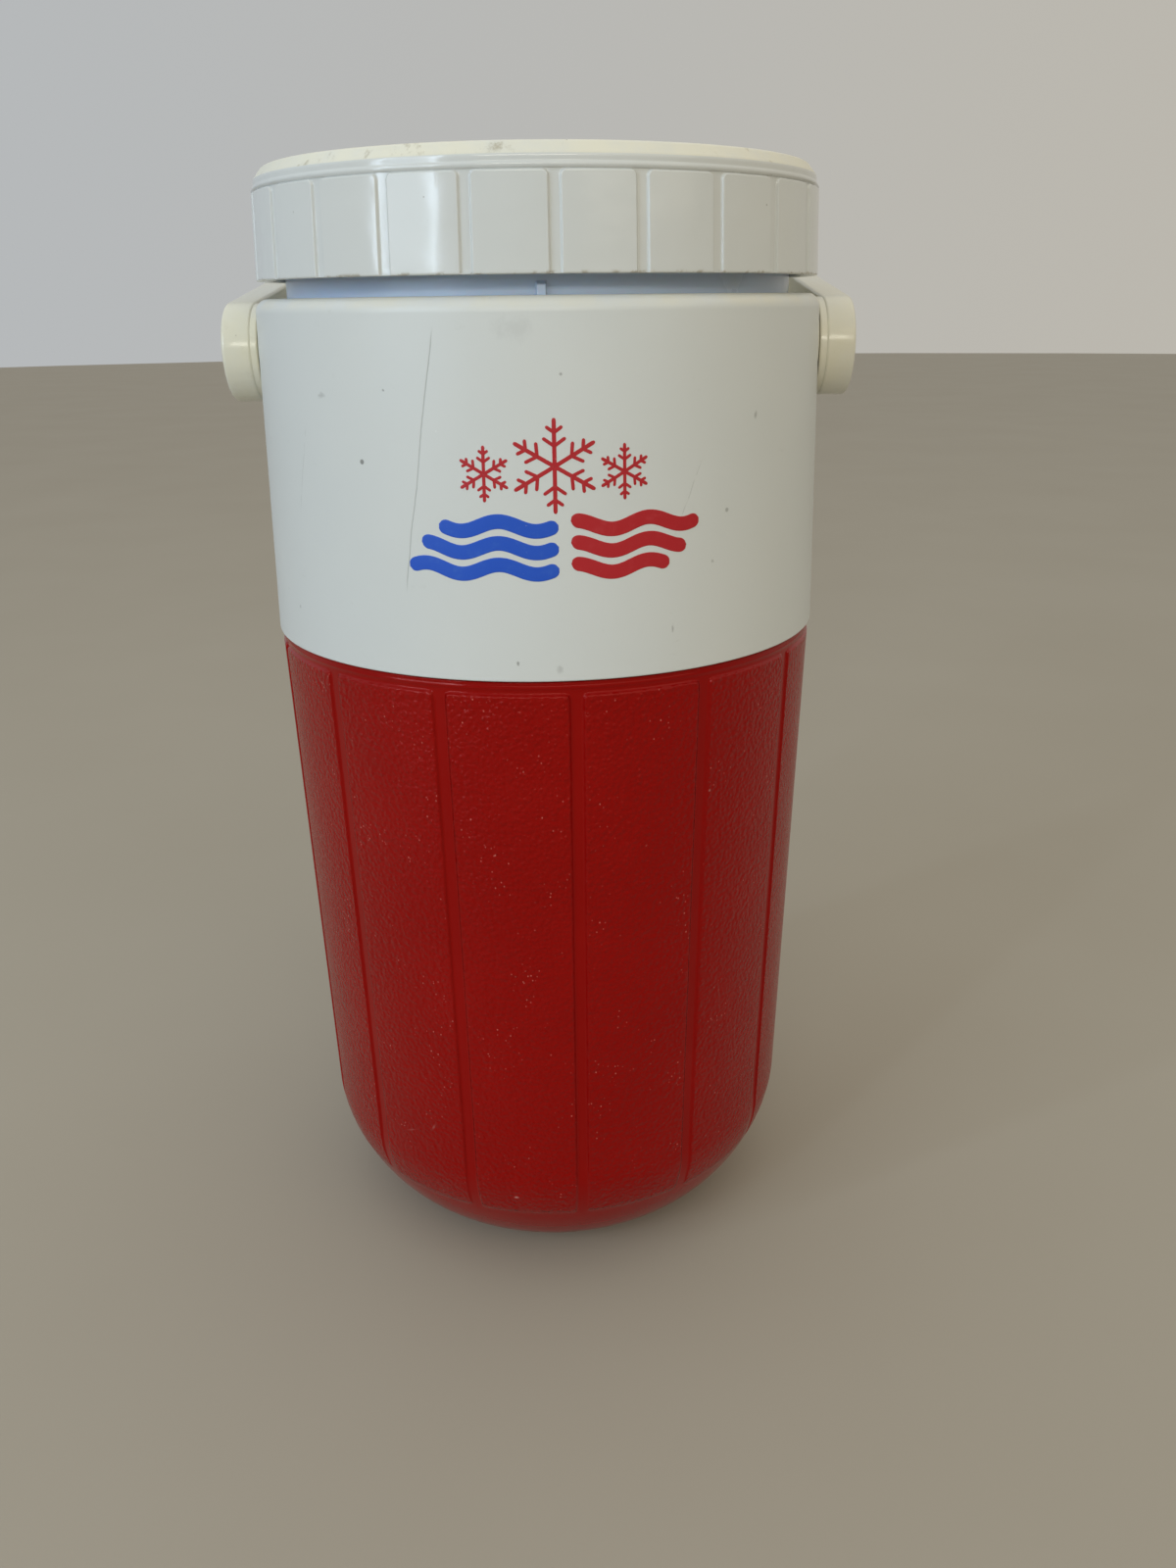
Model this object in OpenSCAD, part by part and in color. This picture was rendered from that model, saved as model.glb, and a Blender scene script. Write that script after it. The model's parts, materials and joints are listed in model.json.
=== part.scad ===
// Insulated beverage jug: two foam-filled outer shells round a wide-mouthed
// bottle, a screw lid with a foam plug, and a swinging bail handle.
// Origin: centre of the base, on the surface it stands on. +Z up, front is -Y.

/* [Overall] */
// Height of the whole jug with its lid screwed home
total_h = 272; // [264:0.5:282]
// Height of the seam between the red and the white outer shell
seam_z = 168.4; // [150:0.2:190]
// Number of raised panels round the red shell
panel_count = 14; // [8:1:18]
// Turn of the first groove between panels, seen from above, from the front
panel_phase = 6.4; // [-14:0.1:14]

/* [Outer shells] */
// Outside radius of the white shell at the seam
seam_r = 68.8; // [68.2:0.1:69]
// Outside radius of the white shell at the shoulder
shoulder_r = 66.9; // [66.4:0.1:67.4]
// Outside radius of the red shell just above the rounded base
base_r = 65.1; // [64:0.1:66]
// Height of the rounded lower corner of the red shell
corner_h = 34; // [26:0.5:40]
// Radius of the ring that the jug stands on
foot_r = 40; // [36:0.5:46]
// Wall thickness of both outer shells
shell_wall = 2.2; // [1.8:0.1:2.4]
// Depth of the grooves between the raised panels
groove_depth = 0.6; // [0.3:0.1:0.9]

/* [Bottle] */
// Inside radius of the bottle
bottle_r = 54; // [52:0.1:54.2]
// Wall thickness of the bottle
bottle_wall = 1.8; // [1.5:0.1:2]
// Outside radius of the threaded neck
neck_r = 59.6; // [59.4:0.1:59.7]
// Bare height of neck seen between the shoulder and the lid
neck_gap = 4.05; // [3.5:0.05:5]
// Rise of the lid in one full turn
thread_lead = 24; // [23:0.5:25]
// Number of thread starts round the neck
thread_starts = 3; // [2:1:3]

/* [Lid] */
// Outside radius of the lid over its grip panels, at its lower edge
lid_r = 66.2; // [65.8:0.1:66.6]
// Narrowing of the lid's side from its lower edge to its rim
lid_draft = 0.8; // [0:0.1:1.2]
// Height of the lid's skirt, from its lower edge to the top of its rim
lid_h = 23.25; // [22.5:0.05:24]
// Number of raised grip panels round the lid
grip_count = 24; // [12:1:30]
// Height of the grip panels above the lid's rim
grip_rise = 0.6; // [0.3:0.1:0.9]

/* [Bail handle] */
// Inside half width of the bail, between its arms
bail_half_in = 68.2; // [68:0.1:69]
// Inside half width between the hubs on the round ends of the arms
bail_hub_in = 66.7; // [66.6:0.1:67.8]
// Thickness of the bail's strap
bail_t = 7.1; // [6.4:0.1:8]
// Reach of the bail from its pivot to the outside of its grip
bail_reach = 88; // [88:0.5:96]
// Outside radius of the bail's two bends
bail_bend_r = 42; // [36:0.5:48]
// Radius of the round end of each arm
bail_eye_r = 11.5; // [10:0.1:11.8]
// Width of the strap at the grip
bail_grip_w = 20; // [16:0.5:22]
// Angle of the folded bail above level
bail_rest_deg = 8; // [0:0.5:12]

/* [Pivots] */
// Height of the pivots below the shoulder
pivot_drop = 11.7; // [11.7:0.1:14]
// Radius of the pivot pins
pin_r = 3; // [2.4:0.1:3.2]
// Radial running clearance of each pin in its bushing
pin_clear = 0.05; // [0.02:0.01:0.1]

/* [Hidden] */

$fn = 128;
gap = 0.1;          // assembly clearance between fitted pieces of one body
cut = 1;            // overshoot of a cutting shape
red = [0.62, 0.03, 0.03];
white = [0.86, 0.88, 0.88];
cream = [0.88, 0.86, 0.76];
foam = [0.93, 0.85, 0.62];
steel = [0.75, 0.76, 0.78];

lid_z = total_h - lid_h;
shoulder_z = lid_z - neck_gap;
shoulder_round = 3;
shoulder_t = 2.2;
seam_shadow = 0.3;
red_top_z = seam_z - seam_shadow;
red_top_r = seam_r - 0.5;

base_t = 2.5;
base_recess_z = 1.5;
base_recess_r = foot_r - 4;
corner_steps = 16;
corner_power = 1.7;

tongue_t = 1.8;
tongue_r = seam_r - shell_wall - 2 * gap;
tongue_up = 8;
tongue_down = 7;
tongue_ramp = 4;

panel_pitch = 360 / panel_count;
groove_angle = 2.1;
groove_top_z = seam_z - 3;
groove_low_z = corner_h - 8;

plug_r = 8;
plug_head_r = 11;
plug_head_t = 1;
plug_depth = 5.5;

pivot_z = shoulder_z - pivot_drop;
boss_r = 12;
boss_face_x = bail_hub_in - 0.3;
seat_r = boss_r + 0.1;
hub_step = 0.3;
boss_inner_x = white_r(pivot_z) - shell_wall + gap;
sleeve_r = 5;
housing_r = 6.8;
housing_x0 = 59.5;
housing_x1 = 64.2;
housing_end_t = 1;
pocket_r = 5.8;
pocket_x1 = 62.7;
pin_x0 = 60.9;
pin_x1 = bail_half_in + bail_t - 1.6;
pin_chamfer = 0.5;
washer_r = 5.4;
washer_x0 = 61.2;
washer_x1 = 62.4;

flange_r = 64.2;
flange_t = 1.6;
flange_z1 = shoulder_z - shoulder_t - gap;
flange_z0 = flange_z1 - flange_t;
mouth_r = 56.8;
throat_h = 6.8;
neck_top_z = total_h - 8;
bottle_floor_z = 18;
bottle_corner = 12;
neck_root_r = 58.6;

stop_rib_turn = 1.7;
stop_rib_w = 1.8;
stop_rib_out = 1.4;
stop_rib_h = 2.3;

ridge_root_half = 1.3;
ridge_crest_half = 0.7;
ridge_bury = 0.6;
ridge_step = 5;
ridge_lap = 0.3;
ridge_runout_steps = 3;
neck_crest_r = 61.4;
cap_crest_r = 60.2;
neck_ridge_sweep = 130;
cap_ridge_sweep = 70;
cap_ridge_lag = 10;
ridge_flank_drop = 2.7;
neck_ridge_z = lid_z + 3.85;

cap_inner_r = 62.2;
cap_chamfer = 0.4;
cap_round = 3;
cap_deck_t = 2;
cap_dish = 2.5;
cap_dish_r = 60;
cap_dish_slope = 2.5;
cap_deck_z = total_h - cap_dish;
cap_ceiling_z = cap_deck_z - cap_deck_t;
grip_top_z = total_h - 5;
grip_pitch = 360 / grip_count;
grip_groove_angle = 1.9;
grip_groove_depth = grip_rise - 0.05;
grip_phase = 4.2;

lid_plug_r = 56.2;
lid_plug_t = 1.4;
lid_plug_h = 14.4;
lid_plug_z = cap_ceiling_z - gap - lid_plug_h;
lid_flange_r = 61.8;
lid_flange_t = 1.3;
lid_plug_bevel = 3;
lid_plug_bevel_in = 3.6;
lid_hole_r = 6;
lid_hole_head_r = 8;
lid_hole_head_t = 1;
lid_hole_plug_up = 3;
gasket_in_r = 56.6;
gasket_out_r = 60.4;
gasket_top_z = cap_ceiling_z - gap - lid_flange_t - gap;

// Outside radius of the red shell's panels at height z
function red_r(z) =
    z >= corner_h
    ? base_r + (red_top_r - base_r) * (z - corner_h) / (red_top_z - corner_h)
    : foot_r + (base_r - foot_r)
        * pow(1 - pow((corner_h - z) / corner_h, corner_power), 1 / corner_power);

// Outside radius of the white shell at height z
function white_r(z) =
    seam_r + (shoulder_r - seam_r) * (z - seam_z) / (shoulder_z - seam_z);

// Outside radius of the lid's grip panels at height z
function cap_r(z) = lid_r - lid_draft * (z - lid_z) / (total_h - cap_round - lid_z);

// Corner of the red shell from the foot ring up, moved in by inset
function red_corner(inset) = [
    for (i = [0 : corner_steps])
        let (a = 90 * i / corner_steps,
             z = corner_h * (1 - cos(a)),
             rise = inset * (1 - z / corner_h))
        [red_r(z) - inset, z + rise]
];

// Quarter of a circle as points, from angle a0 to a1
function arc(cx, cz, r, a0, a1, steps = 8) = [
    for (i = [0 : steps])
        let (a = a0 + (a1 - a0) * i / steps)
        [cx + r * cos(a), cz + r * sin(a)]
];

// Angle about Z of an azimuth measured from the front
function from_front(a) = a - 90;

module along_x(x0, x1, r) {
    translate([x0, 0, pivot_z]) rotate([0, 90, 0]) cylinder(r = r, h = x1 - x0);
}

// One ridge of thread: short arcs of a trapezoid, each a little higher than the
// one before, climbing a right-hand helix and thinning out at both ends. A crest
// inside the root makes an internal ridge.
module thread_ridge(root_r, crest_r, z0, a0, sweep) {
    steps = round(sweep / ridge_step);
    bury = crest_r < root_r ? ridge_bury : -ridge_bury;
    for (i = [0 : steps - 1])
        let (full = min(1, (i + 1) / ridge_runout_steps, (steps - i) / ridge_runout_steps),
             crest = root_r + (crest_r - root_r) * full)
            rotate([0, 0, a0 + i * ridge_step])
                translate([0, 0, z0 + thread_lead * i * ridge_step / 360])
                    rotate_extrude(angle = ridge_step + ridge_lap)
                        polygon([[root_r + bury, -ridge_root_half],
                                 [crest, -ridge_crest_half],
                                 [crest, ridge_crest_half],
                                 [root_r + bury, ridge_root_half]]);
}

module lower_shell() color(red) {
    difference() {
        rotate_extrude() polygon(concat(
            [[0, base_recess_z], [base_recess_r, base_recess_z], [base_recess_r + 1.5, 0]],
            red_corner(0),
            [[red_top_r, red_top_z], [tongue_r, red_top_z],
             [tongue_r, red_top_z + tongue_up], [tongue_r - tongue_t, red_top_z + tongue_up],
             [tongue_r - tongue_t, red_top_z - tongue_down],
             [red_r(red_top_z - tongue_down - tongue_ramp) - shell_wall,
              red_top_z - tongue_down - tongue_ramp]],
            [for (i = [corner_steps : -1 : 0]) red_corner(shell_wall)[i]],
            [[base_recess_r, base_recess_z + base_t], [0, base_recess_z + base_t]]));
        for (i = [0 : panel_count - 1])
            rotate([0, 0, from_front(panel_phase + i * panel_pitch - groove_angle / 2)])
                rotate_extrude(angle = groove_angle)
                    polygon([
                        [red_r(groove_low_z) + cut, groove_low_z],
                        [red_r(corner_h) - groove_depth, corner_h],
                        [red_r(groove_top_z) - groove_depth, groove_top_z],
                        [red_r(groove_top_z) + cut, groove_top_z]]);
        translate([0, 0, base_recess_z - cut]) cylinder(r = plug_r, h = base_t + 2 * cut);
    }
}

module upper_shell() color(white) {
    difference() {
        union() {
            rotate_extrude() polygon(concat(
                [[seam_r - shell_wall, seam_z], [seam_r, seam_z]],
                arc(shoulder_r - shoulder_round, shoulder_z - shoulder_round,
                    shoulder_round, 0, 90),
                [[neck_r + 0.5, shoulder_z], [neck_r + 0.5, shoulder_z - shoulder_t],
                 [shoulder_r - shell_wall, shoulder_z - shoulder_t]]));
            along_x(boss_inner_x, boss_face_x, boss_r);
            along_x(-boss_face_x, -boss_inner_x, boss_r);
        }
        along_x(-seam_r - cut, seam_r + cut, sleeve_r + gap / 2);
        along_x(boss_face_x, seam_r + cut, seat_r);
        along_x(-seam_r - cut, -boss_face_x, seat_r);
    }
}

module inner_liner() color(white) {
    wall_r = bottle_r + bottle_wall;
    throat_z = flange_z0 - throat_h;
    union() {
        rotate_extrude() polygon(concat(
            [[0, bottle_floor_z - bottle_wall]],
            arc(wall_r - bottle_corner, bottle_floor_z - bottle_wall + bottle_corner,
                bottle_corner, -90, 0),
            [[wall_r, throat_z], [neck_root_r, flange_z0], [flange_r, flange_z0],
             [flange_r, flange_z1], [neck_r, flange_z1],
             [neck_r, neck_top_z - 0.8], [neck_r - 0.8, neck_top_z],
             [mouth_r + 0.8, neck_top_z], [mouth_r, neck_top_z - 0.8],
             [mouth_r, flange_z0], [bottle_r, throat_z]],
            arc(bottle_r - bottle_corner, bottle_floor_z + bottle_corner,
                bottle_corner, 0, -90),
            [[0, bottle_floor_z]]));
        for (i = [0 : thread_starts - 1])
            thread_ridge(neck_r, neck_crest_r, neck_ridge_z,
                         i * 360 / thread_starts, neck_ridge_sweep);
        rotate([0, 0, stop_rib_turn])
            translate([-stop_rib_w / 2, -neck_r - stop_rib_out, shoulder_z])
                cube([stop_rib_w, stop_rib_out + cut, stop_rib_h]);
    }
}

module body_insulation() color(foam) {
    wall_r = bottle_r + bottle_wall + gap;
    throat_z = flange_z0 - throat_h;
    tongue_in = tongue_r - tongue_t - gap;
    difference() {
        rotate_extrude() polygon(concat(
            [[0, base_recess_z + base_t + gap],
             [base_recess_r + gap, base_recess_z + base_t + gap]],
            red_corner(shell_wall + gap),
            [[red_r(red_top_z - tongue_down - tongue_ramp) - shell_wall - gap,
              red_top_z - tongue_down - tongue_ramp],
             [tongue_in, red_top_z - tongue_down],
             [tongue_in, red_top_z + tongue_up + gap],
             [white_r(red_top_z + tongue_up) - shell_wall - 2 * gap,
              red_top_z + tongue_up + gap],
             [white_r(flange_z0) - shell_wall - 2 * gap, flange_z0 - gap],
             [neck_root_r + gap, flange_z0 - gap],
             [wall_r, throat_z]],
            arc(wall_r - bottle_corner, bottle_floor_z - bottle_wall - gap + bottle_corner,
                bottle_corner, 0, -90),
            [[0, bottle_floor_z - bottle_wall - gap]]));
        along_x(-seam_r, -housing_x0 + gap, housing_r + gap);
        along_x(housing_x0 - gap, seam_r, housing_r + gap);
        cylinder(r = plug_r + gap, h = base_recess_z + plug_depth + gap);
    }
}

module base_fill_plug() color(red) {
    translate([0, 0, base_recess_z - plug_head_t]) cylinder(r = plug_head_r, h = plug_head_t);
    translate([0, 0, base_recess_z]) cylinder(r = plug_r - gap / 2, h = plug_depth);
}

module lid_cap() color(white) {
    rim_r = cap_r(total_h - cap_round) - grip_rise;
    union() {
        difference() {
            rotate_extrude() polygon(concat(
                [[cap_inner_r, lid_z], [lid_r - cap_chamfer, lid_z],
                 [lid_r, lid_z + cap_chamfer], [cap_r(grip_top_z), grip_top_z],
                 [cap_r(grip_top_z) - grip_rise, grip_top_z]],
                arc(rim_r - cap_round, total_h - cap_round, cap_round, 0, 90),
                [[cap_dish_r, total_h], [cap_dish_r - cap_dish_slope, cap_deck_z],
                 [0, cap_deck_z], [0, cap_ceiling_z], [cap_inner_r, cap_ceiling_z]]));
            for (i = [0 : grip_count - 1])
                rotate([0, 0, from_front(grip_phase + i * grip_pitch - grip_groove_angle / 2)])
                    rotate_extrude(angle = grip_groove_angle)
                        polygon([[cap_r(lid_z - cut) - grip_groove_depth, lid_z - cut],
                                 [lid_r + cut, lid_z - cut],
                                 [lid_r + cut, grip_top_z + cut],
                                 [cap_r(grip_top_z + cut) - grip_groove_depth, grip_top_z + cut]]);
        }
        for (i = [0 : thread_starts - 1])
            thread_ridge(cap_inner_r, cap_crest_r,
                         neck_ridge_z - ridge_flank_drop + thread_lead * cap_ridge_lag / 360,
                         i * 360 / thread_starts + cap_ridge_lag, cap_ridge_sweep);
    }
}

module lid_liner() color(white) {
    difference() {
        rotate_extrude() polygon([
            [0, lid_plug_z], [lid_plug_r - lid_plug_bevel, lid_plug_z],
            [lid_plug_r, lid_plug_z + lid_plug_bevel],
            [lid_plug_r, gasket_top_z + gap], [lid_flange_r, gasket_top_z + gap],
            [lid_flange_r, cap_ceiling_z - gap], [lid_plug_r - lid_plug_t, cap_ceiling_z - gap],
            [lid_plug_r - lid_plug_t, lid_plug_z + lid_plug_bevel_in],
            [lid_plug_r - lid_plug_bevel_in, lid_plug_z + lid_plug_t],
            [0, lid_plug_z + lid_plug_t]]);
        translate([0, 0, lid_plug_z - cut]) cylinder(r = lid_hole_r, h = lid_plug_t + 2 * cut);
    }
}

module lid_insulation() color(foam) {
    bevel = lid_plug_bevel_in + 2 * gap;
    difference() {
        rotate_extrude() polygon([
            [0, lid_plug_z + lid_plug_t + gap],
            [lid_plug_r - bevel, lid_plug_z + lid_plug_t + gap],
            [lid_plug_r - lid_plug_t - gap, lid_plug_z + bevel],
            [lid_plug_r - lid_plug_t - gap, cap_ceiling_z - gap],
            [0, cap_ceiling_z - gap]]);
        translate([0, 0, lid_plug_z])
            cylinder(r = lid_hole_r + gap, h = lid_plug_t + lid_hole_plug_up + gap);
    }
}

module lid_fill_plug() color(white) {
    translate([0, 0, lid_plug_z - lid_hole_head_t])
        cylinder(r = lid_hole_head_r, h = lid_hole_head_t);
    translate([0, 0, lid_plug_z])
        cylinder(r = lid_hole_r - gap / 2, h = lid_plug_t + lid_hole_plug_up);
}

module lid_gasket() color("white") {
    difference() {
        translate([0, 0, neck_top_z + gap])
            cylinder(r = gasket_out_r, h = gasket_top_z - neck_top_z - gap);
        translate([0, 0, neck_top_z - cut])
            cylinder(r = gasket_in_r, h = gasket_top_z - neck_top_z + 2 * cut);
    }
}

// Outline of the bail seen square on, from its pivots (y = 0) to its grip,
// for an outside half width w, reach l and bend radius r
module bail_outline(w, l, r, back) {
    translate([-w, -back]) square([2 * w, l - r + back]);
    translate([-(w - r), 0]) square([2 * (w - r), l]);
    for (side = [-1, 1])
        translate([side * (w - r), l - r]) circle(r = r);
}

module bail_handle() color(cream) {
    w = bail_half_in + bail_t;
    translate([0, 0, pivot_z]) rotate([bail_rest_deg, 0, 0]) difference() {
        union() {
            for (side = [-1, 1]) rotate([0, side * 90, 0]) translate([0, 0, bail_hub_in])
                cylinder(r = bail_eye_r - hub_step, h = bail_half_in - bail_hub_in + cut);
            intersection() {
                translate([0, 0, -bail_eye_r]) linear_extrude(2 * bail_eye_r) difference() {
                    bail_outline(w, bail_reach, bail_bend_r, bail_eye_r);
                    translate([0, -cut]) bail_outline(bail_half_in, bail_reach - bail_t + cut,
                                                      bail_bend_r - bail_t, bail_eye_r);
                }
                rotate([90, 0, 90]) translate([0, 0, -w - cut]) linear_extrude(2 * (w + cut)) {
                    circle(r = bail_eye_r);
                    polygon([[0, -bail_eye_r], [bail_reach + cut, -bail_grip_w / 2],
                             [bail_reach + cut, bail_grip_w / 2], [0, bail_eye_r]]);
                }
            }
        }
        for (side = [-1, 1]) rotate([0, side * 90, 0])
            cylinder(r = pin_r + gap / 5, h = pin_x1 + gap);
    }
}

module pivot_pin() color(steel) {
    along_x(pin_x0 + pin_chamfer, pin_x1, pin_r);
    translate([pin_x0, 0, pivot_z]) rotate([0, 90, 0])
        cylinder(r1 = pin_r - pin_chamfer, r2 = pin_r, h = pin_chamfer);
}

module pivot_bushing() color(white) {
    difference() {
        union() {
            along_x(housing_x0, housing_x1, housing_r);
            along_x(housing_x1 - cut, boss_face_x, sleeve_r);
        }
        along_x(housing_x0 + housing_end_t, pocket_x1, pocket_r);
        along_x(pocket_x1 - cut, seam_r + cut, pin_r + pin_clear);
    }
}

module pin_washer() color(steel) {
    difference() {
        along_x(washer_x0, washer_x1, washer_r);
        along_x(washer_x0 - cut, washer_x1 + cut, pin_r + gap / 5);
    }
}

lower_shell();
upper_shell();
inner_liner();
body_insulation();
base_fill_plug();
lid_cap();
lid_liner();
lid_insulation();
lid_fill_plug();
lid_gasket();
bail_handle();
mirror([1, 0, 0]) pivot_pin();  // pivot_pin_left
pivot_pin();  // pivot_pin_right
mirror([1, 0, 0]) pivot_bushing();  // pivot_bushing_left
pivot_bushing();  // pivot_bushing_right
mirror([1, 0, 0]) pin_washer();  // pin_washer_left
pin_washer();  // pin_washer_right
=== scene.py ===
"""Looks of an insulated beverage jug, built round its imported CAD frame.

The frame is in metres with +Z up and the jug's front towards -Y. Shapes here are worked out in
millimetres and scaled by MM when their mesh is made.
"""

import json
import math

import bmesh
import bpy
import numpy as np
from mathutils import Matrix, Vector


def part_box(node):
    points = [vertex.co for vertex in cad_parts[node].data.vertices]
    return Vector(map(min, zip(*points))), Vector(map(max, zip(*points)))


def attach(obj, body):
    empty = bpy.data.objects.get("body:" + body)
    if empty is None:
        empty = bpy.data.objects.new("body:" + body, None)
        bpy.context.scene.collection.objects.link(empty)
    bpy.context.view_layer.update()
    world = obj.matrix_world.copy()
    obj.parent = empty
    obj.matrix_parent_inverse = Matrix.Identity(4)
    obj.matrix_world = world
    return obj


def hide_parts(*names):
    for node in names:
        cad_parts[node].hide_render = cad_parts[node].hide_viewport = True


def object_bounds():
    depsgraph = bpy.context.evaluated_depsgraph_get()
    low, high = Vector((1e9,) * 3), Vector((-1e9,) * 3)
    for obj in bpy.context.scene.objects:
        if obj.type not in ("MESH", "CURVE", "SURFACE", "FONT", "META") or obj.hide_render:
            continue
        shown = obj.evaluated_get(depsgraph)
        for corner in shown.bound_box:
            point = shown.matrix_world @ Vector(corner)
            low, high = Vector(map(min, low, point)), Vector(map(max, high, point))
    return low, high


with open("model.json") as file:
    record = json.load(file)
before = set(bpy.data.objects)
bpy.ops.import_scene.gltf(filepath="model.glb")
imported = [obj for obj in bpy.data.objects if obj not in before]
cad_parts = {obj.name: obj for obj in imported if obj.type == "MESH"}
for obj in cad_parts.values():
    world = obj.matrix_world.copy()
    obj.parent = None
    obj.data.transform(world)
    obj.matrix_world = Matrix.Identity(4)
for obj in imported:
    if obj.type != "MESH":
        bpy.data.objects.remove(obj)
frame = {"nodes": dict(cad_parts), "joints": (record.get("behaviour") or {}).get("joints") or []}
cad_low, cad_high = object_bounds()

MM = 0.001


# ---------------- places given by the frame


def span(node, axis):
    """Lowest and highest coordinate of a CAD node along an axis (0, 1 or 2), in millimetres."""
    low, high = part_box(node)
    return low[axis] / MM, high[axis] / MM


def joint(name):
    """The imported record's entry for one joint."""
    return next(j for j in frame["joints"] if j["name"] == name)


LID_Z, TOTAL_H = span("lid_cap", 2)
LID_R = span("lid_cap", 0)[1]
SEAM_Z, SHOULDER_Z = span("upper_shell", 2)
SEAM_R = span("upper_shell", 0)[1]
RED_TOP_R = SEAM_R - 0.5
RED_TOP_Z = SEAM_Z - 0.3
BOTTLE_LOW_Z, NECK_TOP_Z = span("inner_liner", 2)
FLANGE_R = span("inner_liner", 0)[1]
PIVOT_Z = joint("bail_pivot")["pos_m"][2] / MM
BAIL_OUT_X = span("bail_handle", 0)[1]
BOSS_FACE_X = span("pivot_bushing_right", 0)[1]
PLUG_Z, PLUG_TOP_Z = span("lid_liner", 2)
PLUG_FLANGE_R = span("lid_liner", 0)[1]
GASKET_Z, GASKET_TOP_Z = span("lid_gasket", 2)
GASKET_R = span("lid_gasket", 0)[1]

# ---------------- driving sizes, millimetres

# Outer shells, their base and the lap joint's tongue
SHOULDER_R = 66.9
SHELL_WALL = 2.2
BASE_R = 65.1
CORNER_H = 34.0
FOOT_R = 40.0
CORNER_POWER = 1.7
BASE_RECESS_Z = 1.5
BASE_RECESS_R = FOOT_R - 4.0
BASE_HOLE_R = 8.2
TONGUE_T = 1.8
TONGUE_UP = 8.0
TONGUE_DOWN = 7.0

# Raised panels of the red shell. PHASE is the azimuth of the first groove, in degrees
PANELS = 14
PANEL_PHASE = 6.4
PANEL_GAP = 2.4
PANEL_RISE = 0.5
PANEL_TOP_Z = SEAM_Z - 3.0
PANEL_LOW_Z = 21.0
PANEL_LOW_SLOPE = 0.4
PANEL_CORNER = 1.6
PANEL_R = 66.5

# Lid and its raised grip panels
GRIPS = 24
GRIP_PHASE = 4.2
GRIP_GAP = 2.1
GRIP_RISE = 0.6
GRIP_TOP_Z = TOTAL_H - 5.0
GRIP_CORNER = 1.3
LID_DRAFT = 0.8
LID_ROUND = 3.0
LID_INNER_R = 62.2
LID_DISH = 2.5
LID_DECK_T = 2.0
CUP_R = 56.2
CUP_HOLE_R = 6.1
CUP_T = 1.4

# Bottle, and the thread on its neck and in the lid, with sweeps and turns in degrees
NECK_R = 59.6
MOUTH_R = 56.8
BOTTLE_R = 54.0
BOTTLE_WALL = 1.8
BOTTLE_CORNER = 12.0
THREAD_LEAD = 24.0
THREAD_STARTS = 3
THREAD_Z = LID_Z + 3.85
THREAD_RISE = 1.8
THREAD_SWEEP = 130.0
LID_THREAD_Z = THREAD_Z - 2.03
LID_THREAD_RISE = 1.9
LID_THREAD_TURN = 10.0
LID_THREAD_SWEEP = 70.0
STOP_RIB_TURN = 1.7

# Bail, and its seats on the white shell
BOSS_R = 12.0
BAIL_T = 7.1
BAIL_IN_X = BAIL_OUT_X - BAIL_T
BAIL_FILLET = 0.85
BAIL_REACH = 88.0
BAIL_BEND_R = 42.0
BAIL_EYE_R = 11.5
HUB_IN_X = BOSS_FACE_X + 0.3
HUB_R = BAIL_EYE_R - 0.3
BAIL_GRIP_W = 20.0
BAIL_REST = math.radians(8.0)

# Print on the front
PRINT_TURN = math.radians(3.2)
PRINT_HALF_W = 31.0
FLAKE_Z = 213.0
WAVE_Z = 196.8
WAVE_STEP = 4.4
WAVE_LENGTH = 15.5
WAVE_HALF_T = 1.5


def red_radius(z):
    """Outside radius of the red shell's panels at height z: a straight taper above the rounded
    corner, and below it a superellipse that meets the table at the foot ring."""
    z = np.asarray(z, float)
    taper = BASE_R + (RED_TOP_R - BASE_R) * (z - CORNER_H) / (RED_TOP_Z - CORNER_H)
    drop = np.clip((CORNER_H - z) / CORNER_H, 0.0, 1.0)
    corner = FOOT_R + (BASE_R - FOOT_R) * (1.0 - drop**CORNER_POWER) ** (1.0 / CORNER_POWER)
    return np.where(z >= CORNER_H, taper, corner)


def cap_radius(z):
    """Outside radius of the lid's grip panels at height z, a straight draft."""
    rise = (np.asarray(z, float) - LID_Z) / (TOTAL_H - LID_ROUND - LID_Z)
    return LID_R - LID_DRAFT * np.clip(rise, 0.0, 1.0)


def white_radius(z):
    """Outside radius of the white shell at height z, a straight taper."""
    return SEAM_R + (SHOULDER_R - SEAM_R) * (np.asarray(z, float) - SEAM_Z) / (SHOULDER_Z - SEAM_Z)


# ---------------- surfaces as grids of points


def ease(x, low, high):
    """0 below low, 1 above high, and a smooth cubic between."""
    t = np.clip((x - low) / (high - low), 0.0, 1.0)
    return t * t * (3.0 - 2.0 * t)


def stops(low, high, coarse, features=(), half=1.0, fine=0.2):
    """Sorted stops from low to high: a coarse step throughout, and a fine one within half of
    each feature."""
    runs = [np.linspace(low, high, max(2, int(round((high - low) / coarse)) + 1))]
    runs += [np.arange(f - half, f + half + fine / 2, fine) for f in features]
    every = np.sort(np.concatenate(runs))
    every = every[(every >= low) & (every <= high)]
    return every[np.concatenate([[True], np.diff(every) > fine * 0.5])]


def azimuths(coarse, features=(), half=1.0, fine=0.2):
    """Stops in degrees all the way round, measured from the front towards +X, with a fine step
    near each feature. The last stop is left out because it meets the first."""
    around = [f + turn for f in features for turn in (-360.0, 0.0, 360.0)]
    return stops(-180.0, 180.0, coarse, around, half, fine)[:-1]


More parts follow.
